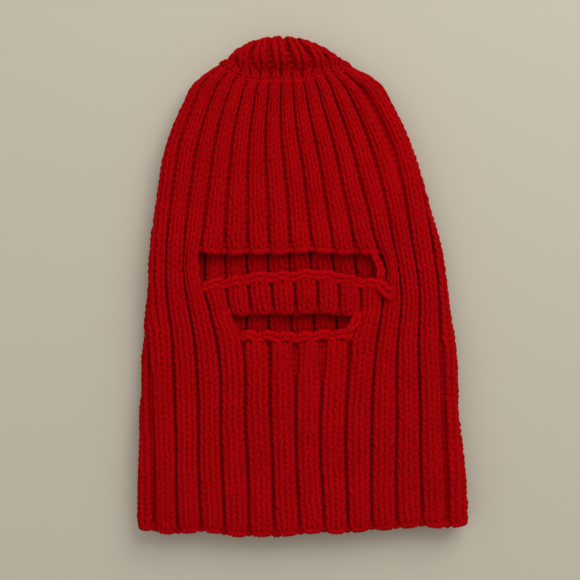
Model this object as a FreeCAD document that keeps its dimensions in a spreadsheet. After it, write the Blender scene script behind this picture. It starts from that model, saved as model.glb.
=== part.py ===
"""A hand-knitted balaclava that lies flat, modelled in the sections and edges that its knitter works.

+X runs across the face to the right, +Y from the hem to the crown and +Z up from the table to the
face side. The origin is at the middle of the underside.
"""
import FreeCAD, Part
import math
import os

import Sketcher
from FreeCAD import Vector

# Every length is in millimetres. A lean is how far a section's middle lies from the middle of the hem.
SIZES = {
    "fabric_thickness": 8.2,
    "fold_depth": 25.0,
    "crown_depth": 23.0,
    "tip_depth": 15.0,
    "sole_trim": 0.3,
    "hem_edge_length": 4.4,
    "collar_length": 72.0,
    "neck_length": 67.2,
    "mouth_opening": 14.0,
    "bridge_length": 19.8,
    "eye_opening": 14.0,
    "brow_length": 59.5,
    "dome_length": 63.6,
    "crown_length": 27.4,
    "gather_length": 6.6,
    "bound_edge_width": 6.4,
    "cast_edge_width": 4.1,
    "edge_rounding": 2.0,
    "hem_width": 244.6,
    "collar_width": 235.7,
    "collar_lean": -2.4,
    "mouth_width": 229.2,
    "mouth_lean": -3.5,
    "eye_width": 217.1,
    "eye_lean": -6.5,
    "brow_width": 193.2,
    "brow_lean": -10.0,
    "dome_width": 171.7,
    "dome_lean": -11.1,
    "ridge_width": 136.9,
    "ridge_lean": -12.6,
    "crown_width": 94.0,
    "crown_lean": -14.0,
    "crest_width": 58.5,
    "crest_lean": -17.0,
    "tip_width": 30.0,
    "tip_lean": -17.4,
    "mouth_slit_width": 84.4,
    "mouth_slit_lean": -7.8,
    "eye_slit_width": 131.0,
    "eye_slit_lean": -14.0,
    "mouth_corner_width": 5.0,
    "eye_corner_width": 6.5,
    "tail_start_lean": 49.0,
    "tail_rise": 2.2,
    "tail_run": 16.0,
    "tail_drop": 10.4,
    "tail_width": 6.5,
}

SHEET_NAME = "Sizes"

document = FreeCAD.newDocument("Balaclava")
sheet = document.addObject("Spreadsheet::Sheet", SHEET_NAME)
for row, (alias, number) in enumerate(SIZES.items(), start=1):
    sheet.set(f"A{row}", alias)
    sheet.set(f"B{row}", str(number))
    sheet.setAlias(f"B{row}", alias)
document.recompute()


class Size:
    """A length together with the sheet expression that it comes from."""

    def __init__(self, value, text):
        self.value = value
        self.text = text

    def joined(self, sign, other, value):
        """A new size from this one, an operator's sign and another size or plain number."""
        return Size(value, f"({self.text} {sign} {as_size(other).text})")

    def __add__(self, other):
        return self.joined("+", other, self.value + as_size(other).value)

    def __sub__(self, other):
        return self.joined("-", other, self.value - as_size(other).value)

    def __mul__(self, other):
        return self.joined("*", other, self.value * as_size(other).value)

    def __truediv__(self, other):
        return self.joined("/", other, self.value / as_size(other).value)

    def __neg__(self):
        return Size(-self.value, f"(0 - {self.text})")


def as_size(number):
    """A plain number as a size; a size is returned as it is."""
    return number if isinstance(number, Size) else Size(number, repr(number))


def cell(alias):
    """The sheet's size with this alias."""
    return Size(SIZES[alias], f"{SHEET_NAME}.{alias}")


THICKNESS = cell("fabric_thickness")
FOLD_RADIUS = cell("fold_depth") / 2
MID_HEIGHT = FOLD_RADIUS
TOP = cell("fold_depth")
INNER_TOP = TOP - THICKNESS
GROUND = as_size(0)

# The lengths that follow each other from the hem's lip to the tip of the crown.
RUN = (
    ("collar_start", "hem_edge_length"),
    ("collar_end", "collar_length"),
    ("neck_end", "neck_length"),
    ("mouth_low", "bound_edge_width"),
    ("mouth_high", "mouth_opening"),
    ("bridge_start", "cast_edge_width"),
    ("bridge_end", "bridge_length"),
    ("eye_low", "bound_edge_width"),
    ("eye_high", "eye_opening"),
    ("brow_start", "cast_edge_width"),
    ("brow_end", "brow_length"),
    ("ridge", "dome_length"),
    ("crest", "crown_length"),
    ("tip", "gather_length"),
)


def levels():
    """Distance along +Y of each boundary, with the whole length centred on the origin."""
    total = as_size(0)
    for _, alias in RUN:
        total = total + cell(alias)
    reached = -(total / 2)
    found = {"hem": reached}
    for name, alias in RUN:
        reached = reached + cell(alias)
        found[name] = reached
    return found


LEVEL = levels()


class Station:
    """A cross-section of the flattened tube: its place along Y, its two folds and its depth."""

    def __init__(self, level, width, lean, depth=None):
        self.level = level
        self.width = width
        self.lean = lean
        self.depth = depth or cell("fold_depth")

    @property
    def left(self):
        return self.lean - self.width / 2

    @property
    def right(self):
        return self.lean + self.width / 2

    def towards(self, other, share, level):
        """The station that lies a share of the way from this one to another."""
        width = self.width + (other.width - self.width) * share
        lean = self.lean + (other.lean - self.lean) * share
        return Station(level, width, lean)


def station(level_name, size_name, depth_name="fold_depth"):
    """The station at a named boundary, with the width and lean that share a name."""
    return Station(
        LEVEL[level_name], cell(f"{size_name}_width"), cell(f"{size_name}_lean"), cell(depth_name)
    )


HEM = Station(LEVEL["hem"], cell("hem_width"), as_size(0))
COLLAR_END = station("collar_end", "collar")
HEM_SHARE = cell("hem_edge_length") / (cell("hem_edge_length") + cell("collar_length"))
COLLAR_START = HEM.towards(COLLAR_END, HEM_SHARE, LEVEL["collar_start"])
NECK_END = station("neck_end", "mouth")
BROW_START = station("brow_start", "eye")
BROW_END = station("brow_end", "brow")
DOME_MIDDLE = Station(LEVEL["brow_end"] + cell("dome_length") / 2, cell("dome_width"), cell("dome_lean"))
RIDGE = station("ridge", "ridge")
CROWN_MIDDLE = Station(
    LEVEL["ridge"] + cell("crown_length") / 2, cell("crown_width"), cell("crown_lean"), cell("crown_depth")
)
CREST = station("crest", "crest", "crown_depth")
TIP = station("tip", "tip", "tip_depth")
FACE_LENGTH = LEVEL["brow_start"] - LEVEL["neck_end"]


def face_station(level_name):
    """The tube's section between the two slits, in line with the sections below and above it."""
    share = (LEVEL[level_name] - LEVEL["neck_end"]) / FACE_LENGTH
    return NECK_END.towards(BROW_START, share, LEVEL[level_name])


class Slit:
    """An opening in the face side, with the corner pieces that close its ends."""

    def __init__(self, name, low, high):
        self.low = LEVEL[low]
        self.high = LEVEL[high]
        self.left = cell(f"{name}_slit_lean") - cell(f"{name}_slit_width") / 2
        self.right = cell(f"{name}_slit_lean") + cell(f"{name}_slit_width") / 2
        self.frame_left = self.left - cell(f"{name}_corner_width")
        self.frame_right = self.right + cell(f"{name}_corner_width")


MOUTH = Slit("mouth", "mouth_low", "mouth_high")
EYES = Slit("eye", "eye_low", "eye_high")

bodies = []
soles = []


def new_body(label):
    """A body that becomes one node."""
    body = document.addObject("PartDesign::Body", label)
    body.Label = label
    bodies.append(body)
    return body


def new_sketch(body, role, offset):
    """A sketch on one of the body's own origin planes, moved along the plane's normal."""
    plane = next(item for item in body.Origin.OriginFeatures if item.Role == role)
    sketch = body.newObject("Sketcher::SketchObject", f"{body.Label}_outline")
    sketch.AttachmentSupport = [(plane, "")]
    sketch.MapMode = "FlatFace"
    sketch.setExpression(".AttachmentOffset.Base.z", offset.text)
    return sketch


def bind(sketch, kind, *arguments, size):
    """A dimension whose value is read from the sheet."""
    index = sketch.addConstraint(Sketcher.Constraint(kind, *arguments, size.value))
    sketch.setExpression(f"Constraints[{index}]", size.text)


def arc_between(start, end, centre):
    """The quarter turn from one corner to the next, listed anticlockwise about its centre."""
    start_angle = math.atan2(start[1] - centre[1], start[0] - centre[0])
    end_angle = math.atan2(end[1] - centre[1], end[0] - centre[0])
    if (end_angle - start_angle) % (2 * math.pi) > math.pi:
        start_angle, end_angle = end_angle, start_angle
        reverse = True
    else:
        reverse = False
    radius = math.dist(start, centre)
    circle = Part.Circle(Vector(*centre, 0), Vector(0, 0, 1), radius)
    return Part.ArcOfCircle(circle, start_angle, end_angle), reverse


def draw(sketch, corners, arcs=()):
    """A closed outline through corners; arcs maps a corner's number to its next edge's centre and radius."""
    arcs = dict(arcs)
    first = sketch.GeometryCount
    places = [(x.value, y.value) for x, y in corners]
    ends = []
    for number, place in enumerate(places):
        following = places[(number + 1) % len(places)]
        if number in arcs:
            centre, _ = arcs[number]
            shape, reverse = arc_between(place, following, (centre[0].value, centre[1].value))
        else:
            shape, reverse = Part.LineSegment(Vector(*place, 0), Vector(*following, 0)), False
        sketch.addGeometry(shape, False)
        ends.append((2, 1) if reverse else (1, 2))
    for number, (x, y) in enumerate(corners):
        edge = first + number
        before = (number - 1) % len(corners)
        sketch.addConstraint(
            Sketcher.Constraint("Coincident", first + before, ends[before][1], edge, ends[number][0])
        )
        bind(sketch, "DistanceX", edge, ends[number][0], size=x)
        bind(sketch, "DistanceY", edge, ends[number][0], size=y)
    for number, (_, radius) in arcs.items():
        bind(sketch, "Radius", first + number, size=radius)


def loft(body, sketches, ruled):
    """A solid that runs through the sketches in turn."""
    feature = body.newObject("PartDesign::AdditiveLoft", f"{body.Label}_loft")
    feature.Profile = sketches[0]
    feature.Sections = sketches[1:]
    feature.Ruled = ruled


def pad(body, sketch, length):
    """A solid of the sketch's outline, as long as the size says."""
    feature = body.newObject("PartDesign::Pad", f"{body.Label}_pad")
    feature.Profile = sketch
    feature.setExpression("Length", length.text)


def trim_sole(body):
    """Cut the underside off level with the table, so that it rests on a true plane."""
    margin = cell("hem_width")
    far = LEVEL["tip"] * 2
    sketch = new_sketch(body, "XY_Plane", GROUND)
    draw(sketch, [(-margin, -far), (margin, -far), (margin, far), (-margin, far)])
    feature = body.newObject("PartDesign::Pocket", f"{body.Label}_sole")
    feature.Profile = sketch
    feature.setExpression("Length", cell("fold_depth").text)
    soles.append(feature)


def layer_section(sketch, place, face_side):
    """One layer of fabric from fold to fold: half of the flattened tube's wall."""
    radius = place.depth / 2
    if not face_side:
        radius = radius + cell("sole_trim")
    inner = place.depth / 2 - THICKNESS
    side = 1 if face_side else -1
    outer_level = MID_HEIGHT + radius * side
    inner_level = MID_HEIGHT + inner * side
    left_centre = (place.left + radius, MID_HEIGHT)
    right_centre = (place.right - radius, MID_HEIGHT)
    corners = [
        (place.left, MID_HEIGHT),
        (place.left + radius, outer_level),
        (place.right - radius, outer_level),
        (place.right, MID_HEIGHT),
        (right_centre[0] + inner, MID_HEIGHT),
        (right_centre[0], inner_level),
        (left_centre[0], inner_level),
        (left_centre[0] - inner, MID_HEIGHT),
    ]
    arcs = {
        0: (left_centre, radius),
        2: (right_centre, radius),
        4: (right_centre, inner),
        6: (left_centre, inner),
    }
    draw(sketch, corners, arcs)


def make_layer(label, stations, face_side, ruled=True):
    """A panel of fabric on the face side or the back of the tube."""
    body = new_body(label)
    sketches = []
    for place in stations:
        sketch = new_sketch(body, "XZ_Plane", -place.level)
        layer_section(sketch, place, face_side)
        sketches.append(sketch)
    loft(body, sketches, ruled)
    if not face_side:
        trim_sole(body)


def make_cheek(label, side):
    """The face side between a fold and the ends of both slits; side is -1 on the left and 1 on the right."""
    body = new_body(label)
    sketches = []
    for level_name, slit in (
        ("neck_end", MOUTH),
        ("bridge_start", MOUTH),
        ("bridge_end", EYES),
        ("brow_start", EYES),
    ):
        place = face_station(level_name)
        fold = place.left if side < 0 else place.right
        inner_edge = slit.frame_left if side < 0 else slit.frame_right
        inner_radius = FOLD_RADIUS - THICKNESS
        centre = (fold - FOLD_RADIUS * side, MID_HEIGHT)
        sketch = new_sketch(body, "XZ_Plane", -place.level)
        corners = [
            (fold, MID_HEIGHT),
            (centre[0], TOP),
            (inner_edge, TOP),
            (inner_edge, INNER_TOP),
            (centre[0], INNER_TOP),
            (centre[0] + inner_radius * side, MID_HEIGHT),
        ]
        draw(sketch, corners, {0: (centre, FOLD_RADIUS), 4: (centre, inner_radius)})
        sketches.append(sketch)
    loft(body, sketches, True)


def make_bridge(label):
    """The band of fabric between the mouth slit and the eye slit."""
    body = new_body(label)
    sketch = new_sketch(body, "XY_Plane", INNER_TOP)
    corners = [
        (MOUTH.frame_left, LEVEL["bridge_start"]),
        (MOUTH.frame_right, LEVEL["bridge_start"]),
        (EYES.frame_right, LEVEL["bridge_end"]),
        (EYES.frame_left, LEVEL["bridge_end"]),
    ]
    draw(sketch, corners)
    pad(body, sketch, THICKNESS)


def draw_lip(sketch, seam, lip, side):
    """A strip's section, square where it joins the fabric and rounded at its lip."""
    rounding = cell("edge_rounding")
    shoulder = lip - rounding * side
    corners = [
        (seam, TOP),
        (shoulder, TOP),
        (lip, TOP - rounding),
        (lip, INNER_TOP + rounding),
        (shoulder, INNER_TOP),
        (seam, INNER_TOP),
    ]
    arcs = {
        1: ((shoulder, TOP - rounding), rounding),
        3: ((shoulder, INNER_TOP + rounding), rounding),
    }
    draw(sketch, corners, arcs)


def make_slit_edge(label, slit, seam, lip, side):
    """The edge along a slit; side is 1 on the lower edge, whose lip points to +Y, and -1 on the upper."""
    body = new_body(label)
    sketch = new_sketch(body, "YZ_Plane", slit.left)
    draw_lip(sketch, seam, lip, side)
    pad(body, sketch, slit.right - slit.left)


def make_corner(label, seam, lip, side, low, high):
    """The stitches that close a slit's end, from its lower edge's seam to its upper edge's seam."""
    body = new_body(label)
    sketch = new_sketch(body, "XZ_Plane", -high)
    draw_lip(sketch, seam, lip, side)
    pad(body, sketch, high - low)


def make_hem_edge(label):
    """The cast-on edge: a closed ring round the neck opening."""
    body = new_body(label)
    sketch = new_sketch(body, "XZ_Plane", -COLLAR_START.level)
    half = cell("hem_width") / 2
    for radius in (FOLD_RADIUS, FOLD_RADIUS - THICKNESS):
        centre_left = (FOLD_RADIUS - half, MID_HEIGHT)
        centre_right = (half - FOLD_RADIUS, MID_HEIGHT)
        corners = [
            (centre_left[0] - radius, MID_HEIGHT),
            (centre_left[0], MID_HEIGHT + radius),
            (centre_right[0], MID_HEIGHT + radius),
            (centre_right[0] + radius, MID_HEIGHT),
            (centre_right[0], MID_HEIGHT - radius),
            (centre_left[0], MID_HEIGHT - radius),
        ]
        arcs = {
            0: (centre_left, radius),
            2: (centre_right, radius),
            3: (centre_right, radius),
            5: (centre_left, radius),
        }
        draw(sketch, corners, arcs)
    pad(body, sketch, cell("hem_edge_length"))


def make_gather(label):
    """The drawn-up stitches that close the tube above the crown."""
    body = new_body(label)
    sketches = []
    for place in (CREST, TIP):
        radius = place.depth / 2
        left_centre = (place.left + radius, MID_HEIGHT)
        right_centre = (place.right - radius, MID_HEIGHT)
        corners = [
            (place.left, MID_HEIGHT),
            (left_centre[0], MID_HEIGHT + radius),
            (right_centre[0], MID_HEIGHT + radius),
            (place.right, MID_HEIGHT),
            (right_centre[0], MID_HEIGHT - radius),
            (left_centre[0], MID_HEIGHT - radius),
        ]
        arcs = {
            0: (left_centre, radius),
            2: (right_centre, radius),
            3: (right_centre, radius),
            5: (left_centre, radius),
        }
        sketch = new_sketch(body, "XZ_Plane", -place.level)
        draw(sketch, corners, arcs)
        sketches.append(sketch)
    loft(body, sketches, True)


def make_tail(label):
    """The end of the bound edge, sewn down across the right cheek."""
    body = new_body(label)
    sketch = new_sketch(body, "XY_Plane", TOP)
    start = (cell("tail_start_lean"), LEVEL["bridge_end"])
    end = (start[0] + cell("tail_run"), start[1] - cell("tail_drop"))
    width = cell("tail_width")
    corners = [start, (start[0], start[1] - width), (end[0], end[1] - width), end]
    draw(sketch, corners)
    pad(body, sketch, cell("tail_rise"))


for side_name, on_face in (("front", True), ("back", False)):
    make_layer(f"collar_{side_name}", [COLLAR_START, COLLAR_END], on_face)
    make_layer(f"neck_{side_name}", [COLLAR_END, NECK_END], on_face)
    make_layer(f"brow_{side_name}", [BROW_START, BROW_END], on_face)
    make_layer(f"dome_{side_name}", [BROW_END, DOME_MIDDLE, RIDGE], on_face, ruled=False)
    make_layer(f"crown_{side_name}", [RIDGE, CROWN_MIDDLE, CREST], on_face)
make_layer("face_back", [NECK_END, BROW_START], False)
make_cheek("cheek_left", -1)
make_cheek("cheek_right", 1)
make_bridge("nose_bridge")
make_hem_edge("hem_edge")
make_gather("crown_gather")
make_slit_edge("mouth_lower_edge", MOUTH, LEVEL["neck_end"], MOUTH.low, 1)
make_slit_edge("mouth_upper_edge", MOUTH, LEVEL["bridge_start"], MOUTH.high, -1)
make_slit_edge("eye_lower_edge", EYES, LEVEL["bridge_end"], EYES.low, 1)
make_slit_edge("eye_upper_edge", EYES, LEVEL["brow_start"], EYES.high, -1)
for slit_name, opening, low_level, high_level in (
    ("mouth", MOUTH, LEVEL["neck_end"], LEVEL["bridge_start"]),
    ("eye", EYES, LEVEL["bridge_end"], LEVEL["brow_start"]),
):
    make_corner(
        f"{slit_name}_corner_left", opening.frame_left, opening.left, 1, low_level, high_level
    )
    make_corner(
        f"{slit_name}_corner_right", opening.frame_right, opening.right, -1, low_level, high_level
    )
make_tail("eye_edge_tail")

document.recompute()

for item in document.Objects:
    if "Invalid" in item.State or "Error" in item.State:
        raise RuntimeError(f"{item.Label} failed: {item.State}")
for body in bodies:
    if body.Shape.isNull() or not body.Shape.isValid() or not body.Shape.Solids:
        raise RuntimeError(f"{body.Label} has no valid solid")
for sole in soles:
    if sole.Shape.Volume >= sole.BaseFeature.Shape.Volume:
        raise RuntimeError(f"{sole.Label} cut nothing")

os.makedirs("parts", exist_ok=True)
for body in bodies:
    body.Shape.exportStep(f"parts/{body.Label}.step")
    print(f"{body.Label}: {body.Shape.Volume / 1000:.1f} cm3")
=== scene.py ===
"""A hand-knitted red balaclava that lies flat: every stitch of its ribs, edges and crown as real yarn."""

import logging
import math
from dataclasses import dataclass, field, replace
from enum import Enum
from functools import partial
from typing import Callable

import bpy
import numpy as np
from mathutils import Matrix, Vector


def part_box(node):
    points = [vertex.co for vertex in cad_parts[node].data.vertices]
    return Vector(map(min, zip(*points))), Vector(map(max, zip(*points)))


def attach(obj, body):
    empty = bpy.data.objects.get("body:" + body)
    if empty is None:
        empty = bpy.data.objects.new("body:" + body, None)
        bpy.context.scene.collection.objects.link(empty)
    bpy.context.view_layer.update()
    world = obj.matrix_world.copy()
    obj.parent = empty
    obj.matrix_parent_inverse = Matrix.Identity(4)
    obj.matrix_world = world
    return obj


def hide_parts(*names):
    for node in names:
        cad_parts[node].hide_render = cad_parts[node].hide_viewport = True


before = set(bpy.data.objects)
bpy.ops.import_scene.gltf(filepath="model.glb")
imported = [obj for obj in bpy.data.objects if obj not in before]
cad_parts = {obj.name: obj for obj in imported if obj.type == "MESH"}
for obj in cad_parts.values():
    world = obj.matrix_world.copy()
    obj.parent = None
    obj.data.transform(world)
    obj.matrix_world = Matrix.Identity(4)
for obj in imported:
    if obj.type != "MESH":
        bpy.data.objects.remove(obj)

MM = 0.001
TURN = 2 * math.pi
# Ribs between the two gutters beside the slits: above the mouth, and below it.
HEAD_MIDDLE = 8
NECK_MIDDLE = 6
SIDE_AND_BACK_RIBS = 20
HEAD_RIBS = HEAD_MIDDLE + SIDE_AND_BACK_RIBS
NECK_RIBS = NECK_MIDDLE + SIDE_AND_BACK_RIBS
# Ribs on the face side, beyond those gutters.
LEFT_RIBS = 3
RIGHT_RIBS = 4
STITCHES_PER_RIB = 4
LOG = logging.getLogger("balaclava")

# The shares of a fold's overhang and of its depth that are left.
Shares = tuple[np.ndarray | float, np.ndarray | float]
# Gives points and outward directions from rib coordinates and places along the ribs.
Surface = Callable[[np.ndarray, np.ndarray], tuple[np.ndarray, np.ndarray]]


def smooth_step(low: float, high: float, value: np.ndarray) -> np.ndarray:
    """Rise smoothly from 0 at low to 1 at high.

    Args:
        low: Where the rise starts.
        high: Where the rise ends.
        value: Where to read the rise.

    Returns:
        The rise at each value.
    """
    share = np.clip((value - low) / (high - low), 0.0, 1.0)
    return share * share * (3 - 2 * share)


def bell(value: np.ndarray, middle: float, width: float) -> np.ndarray:
    """Rise to 1 at the middle and fall away on both sides.

    Args:
        value: Where to read the bell.
        middle: Where its top is.
        width: Distance from the top at which about a third is left.

    Returns:
        The bell's height at each value.
    """
    return np.exp(-(((value - middle) / width) ** 2))


def smooth_line(heights: list[float], values: list[float], at: np.ndarray) -> np.ndarray:
    """Read a smooth curve through a few stations.

    Args:
        heights: The stations' places, rising.
        values: The curve's value at each station.
        at: Where to read the curve.

    Returns:
        The curve's value at each place.
    """
    heights = np.asarray(heights)
    values = np.asarray(values)
    slopes = np.gradient(values, heights)
    at = np.clip(at, heights[0], heights[-1])
    index = np.clip(np.searchsorted(heights, at, side="right") - 1, 0, len(heights) - 2)
    gap = heights[index + 1] - heights[index]
    share = (at - heights[index]) / gap
    square, cube = share**2, share**3
    return (
        (2 * cube - 3 * square + 1) * values[index]
        + (cube - 2 * square + share) * gap * slopes[index]
        + (3 * square - 2 * cube) * values[index + 1]
        + (cube - square) * gap * slopes[index + 1]
    )


def unit(vectors: np.ndarray) -> np.ndarray:
    """Scale each vector to a length of one.

    Args:
        vectors: The vectors, along the last axis.

    Returns:
        The scaled vectors.
    """
    return vectors / np.maximum(np.linalg.norm(vectors, axis=-1, keepdims=True), 1e-12)


@dataclass
class YarnMesh:
    """Collects swept yarn tubes and turns them into one mesh piece.

    Attributes:
        sides: Number of faces round a tube.
        points: Vertices of each batch.
        corners: Vertex numbers of each batch's face corners.
        sizes: Number of corners of each batch's faces.
        uvs: Distance along the yarn and share of the way round it, for each corner.
        count: Number of vertices so far.
    """

    sides: int = 6
    points: list[np.ndarray] = field(default_factory=list)
    corners: list[np.ndarray] = field(default_factory=list)
    sizes: list[np.ndarray] = field(default_factory=list)
    uvs: list[np.ndarray] = field(default_factory=list)
    count: int = 0

    def add(self, paths: np.ndarray, radius: np.ndarray | float) -> None:
        """Sweep a round section along each path and close both ends.

        Args:
            paths: Points of every path, as paths by points by three.
            radius: One radius, or one for every point of every path.
        """
        strands, length, _ = paths.shape
        radius = np.broadcast_to(radius, (strands, length))
        tangent = unit(np.gradient(paths, axis=1))
        side = self._frames(tangent)
        up = np.cross(tangent, side)
        angle = np.arange(self.sides) * TURN / self.sides
        ring = side[:, :, None] * np.cos(angle)[:, None] + up[:, :, None] * np.sin(angle)[:, None]
        points = paths[:, :, None] + ring * radius[:, :, None, None]
        step = np.linalg.norm(np.diff(paths, axis=1), axis=2)
        along = np.concatenate([np.zeros((strands, 1)), np.cumsum(step, axis=1)], axis=1)
        number = self.count + np.arange(strands * length * self.sides).reshape(strands, length, self.sides)
        following = np.roll(number, -1, axis=2)
        quads = np.stack(
            [number[:, :-1], following[:, :-1], following[:, 1:], number[:, 1:]], axis=-1
        )
        around = np.arange(self.sides) / self.sides
        around_next = around + 1 / self.sides
        shape = (strands, length - 1, self.sides)
        low = np.broadcast_to(along[:, :-1, None], shape)
        high = np.broadcast_to(along[:, 1:, None], shape)
        near = np.broadcast_to(around, shape)
        far = np.broadcast_to(around_next, shape)
        quad_uv = np.stack([low, near, low, far, high, far, high, near], axis=-1)
        ends = np.concatenate([number[:, 0, ::-1], number[:, -1]])
        self.points.append(points.reshape(-1, 3))
        self.corners += [quads.reshape(-1), ends.reshape(-1)]
        self.sizes += [np.full(quads.size // 4, 4), np.full(len(ends), self.sides)]
        self.uvs += [quad_uv.reshape(-1, 2), np.zeros((ends.size, 2))]
        self.count += points.size // 3

    @staticmethod
    def _frames(tangent: np.ndarray) -> np.ndarray:
        """Carry a sideways direction along each path without twisting it.

        Args:
            tangent: Direction of each path at each of its points.

        Returns:
            The sideways directions.
        """
        nearly_up = (0.13, 0.29, 0.95)
        side = np.empty_like(tangent)
        side[:, 0] = unit(np.cross(tangent[:, 0], nearly_up))
        for index in range(1, tangent.shape[1]):
            ahead = tangent[:, index]
            carried = side[:, index - 1]
            carried = carried - ahead * np.sum(carried * ahead, axis=1, keepdims=True)
            side[:, index] = unit(carried)
        return side

    def piece(self, name: str) -> bpy.types.Object:
        """Make one object of everything collected.

        Args:
            name: The object's name.

        Returns:
            The new mesh object, at the origin.
        """
        points = np.concatenate(self.points)
        corners = np.concatenate(self.corners)
        sizes = np.concatenate(self.sizes)
        mesh = bpy.data.meshes.new(name)
        mesh.vertices.add(len(points))
        mesh.vertices.foreach_set("co", points.astype(np.float32).ravel())
        mesh.loops.add(len(corners))
        mesh.loops.foreach_set("vertex_index", corners.astype(np.int32))
        mesh.polygons.add(len(sizes))
        starts = np.concatenate([[0], np.cumsum(sizes)[:-1]])
        mesh.polygons.foreach_set("loop_start", starts.astype(np.int32))
        mesh.polygons.foreach_set("use_smooth", np.ones(len(sizes), bool))
        layer = mesh.uv_layers.new(name="Yarn")
        layer.data.foreach_set("uv", np.concatenate(self.uvs).astype(np.float32).ravel())
        mesh.update(calc_edges=True)
        piece = bpy.data.objects.new(name, mesh)
        bpy.context.scene.collection.objects.link(piece)
        return piece


@dataclass(frozen=True)
class Pull:
    """A gutter that is pulled open, so that its purl wales show.

    Attributes:
        gutter: The gutter's rib coordinate.
        low: Where the opening starts.
        high: Where it ends.
        amount: Share of the overhang that is lost.
    """

    gutter: float
    low: float
    high: float
    amount: float


@dataclass(frozen=True)
class Hold:
    """An edge that holds the fabric flatter.

    Attributes:
        place: Where the edge lies along the ribs.
        first: Rib coordinate at which it starts.
        last: Rib coordinate at which it ends.
    """

    place: float
    first: float = -99.0
    last: float = 99.0

    def share(self, ribs: np.ndarray, place: np.ndarray, reach: float) -> np.ndarray:
        """Tell how much of the edge's hold is felt.

        Args:
            ribs: Rib coordinates.
            place: Places along the ribs.
            reach: How far the hold reaches along the ribs.

        Returns:
            The share, 1 at the edge.
        """
        soft = 0.5
        start = smooth_step(self.first - soft, self.first + soft, ribs)
        end = 1 - smooth_step(self.last - soft, self.last + soft, ribs)
        return start * end * bell(place, self.place, reach)


@dataclass(frozen=True)
class Ease:
    """How the folds slacken: pulled-open gutters, and edges that hold the fabric flatter.

    Attributes:
        pulls: The pulled-open gutters.
        edges: The edges that hold the fabric.
        reach: How far an edge's hold reaches.
        hold: Share of the fold's depth that is lost at an edge.
        flatter: Where the folds start to flatten, where they are flattest, and the share of depth
            that is lost there.
    """

    pulls: tuple[Pull, ...] = ()
    edges: tuple[Hold, ...] = ()
    reach: float = 4.5 * MM
    hold: float = 0.45
    flatter: tuple[float, float, float] = (0.0, 1.0, 0.0)

    def shares(self, ribs: np.ndarray, place: np.ndarray) -> Shares:
        """Give the shares of the overhang and of the depth that are left.

        Args:
            ribs: Rib coordinates.
            place: Places along the ribs.

        Returns:
            Both shares.
        """
        soft, gutter_width, least_depth = 7 * MM, 0.33, 0.3
        start, end, lost = self.flatter
        depth = 1 - lost * smooth_step(start, end, place) + 0 * ribs
        for edge in self.edges:
            depth = depth - self.hold * edge.share(ribs, place, self.reach)
        overhang = depth.copy()
        for pull in self.pulls:
            span = smooth_step(pull.low - soft, pull.low + soft, place)
            span = span * (1 - smooth_step(pull.high - soft, pull.high + soft, place))
            overhang = overhang - pull.amount * span * bell(ribs, pull.gutter, gutter_width)
        return overhang, np.maximum(depth, least_depth)


@dataclass(frozen=True)
class Rib:
    """How the yarn lies in a rib.

    Attributes:
        share: Width of the yarn, in ribs.
        thinnest: Least diameter of the yarn.
        thickest: Greatest diameter of the yarn.
        fold: Half the depth of the rib's fold.
        overhang: How far the fabric doubles back on itself between a knit and a purl wale, in ribs.
        lean: How far a stitch's legs spread towards its head, in stitches.
        reach: Half a stitch's height, in courses.
        relief: How far the legs stand in front of the heads.
        stitches: Stitches in a rib.
    """

    share: float = 0.248
    thinnest: float = 2.3 * MM
    thickest: float = 4.6 * MM
    fold: float = 3.15 * MM
    overhang: float = 0.094
    lean: float = 0.17
    reach: float = 0.95
    relief: float = 0.95 * MM
    stitches: int = STITCHES_PER_RIB

    @property
    def half_depth(self) -> float:
        """Half the thickness of the knitted layer.

        Returns:
            The half thickness.
        """
        return self.fold + self.relief + (self.thinnest + self.thickest) / 4

    def radius(self, pitch: np.ndarray) -> np.ndarray:
        """Size the yarn for the room that it has.

        Args:
            pitch: Width of a rib.

        Returns:
            The yarn's radius.
        """
        return np.clip(self.share * pitch, self.thinnest, self.thickest) / 2

    def bend(self, ribs: np.ndarray, ease: Shares = (1.0, 1.0)) -> tuple[np.ndarray, np.ndarray]:
        """Find where the folded fabric lies.

        Args:
            ribs: Rib coordinate along the yarn.
            ease: Shares of the overhang and of the fold's depth.

        Returns:
            The rib coordinate seen from outside, and how far out of the layer's middle the fabric stands.
        """
        flatness, snap = 1.9, 0.6
        wave = -np.cos(TURN * ribs)
        lean = np.sin(2 * TURN * ribs) / (1 + snap * np.cos(2 * TURN * ribs))
        profile = np.tanh(flatness * wave) / math.tanh(flatness)
        return ribs + self.overhang * lean * ease[0], self.fold * profile * ease[1]

    def slope(self, ribs: np.ndarray, ease: Shares) -> tuple[np.ndarray, np.ndarray]:
        """Measure how fast the folded fabric moves across and out.

        Args:
            ribs: Rib coordinate along the yarn.
            ease: Shares of the overhang and of the fold's depth.

        Returns:
            The move across and the move out, for each rib of coordinate.
        """
        nudge = 0.01
        ahead, behind = self.bend(ribs + nudge, ease), self.bend(ribs - nudge, ease)
        return (ahead[0] - behind[0]) / (2 * nudge), (ahead[1] - behind[1]) / (2 * nudge)


@dataclass(frozen=True)
class Guide:
    """The tube's guide lines at some heights.

    Attributes:
        left: The left fold.
        right: The right fold.
        gutter_left: The gutter left of the slits.
        gutter_right: The gutter right of the slits.
        ribs_left: Ribs from the left gutter to the left fold.
        ribs_right: Ribs from the right gutter to the right fold.
        lift_left: How much higher a course lies at the left fold than in the middle.
        lift_right: How much higher it lies at the right fold.
    """

    left: np.ndarray
    right: np.ndarray
    gutter_left: np.ndarray
    gutter_right: np.ndarray
    ribs_left: np.ndarray
    ribs_right: np.ndarray
    lift_left: np.ndarray
    lift_right: np.ndarray


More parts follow.
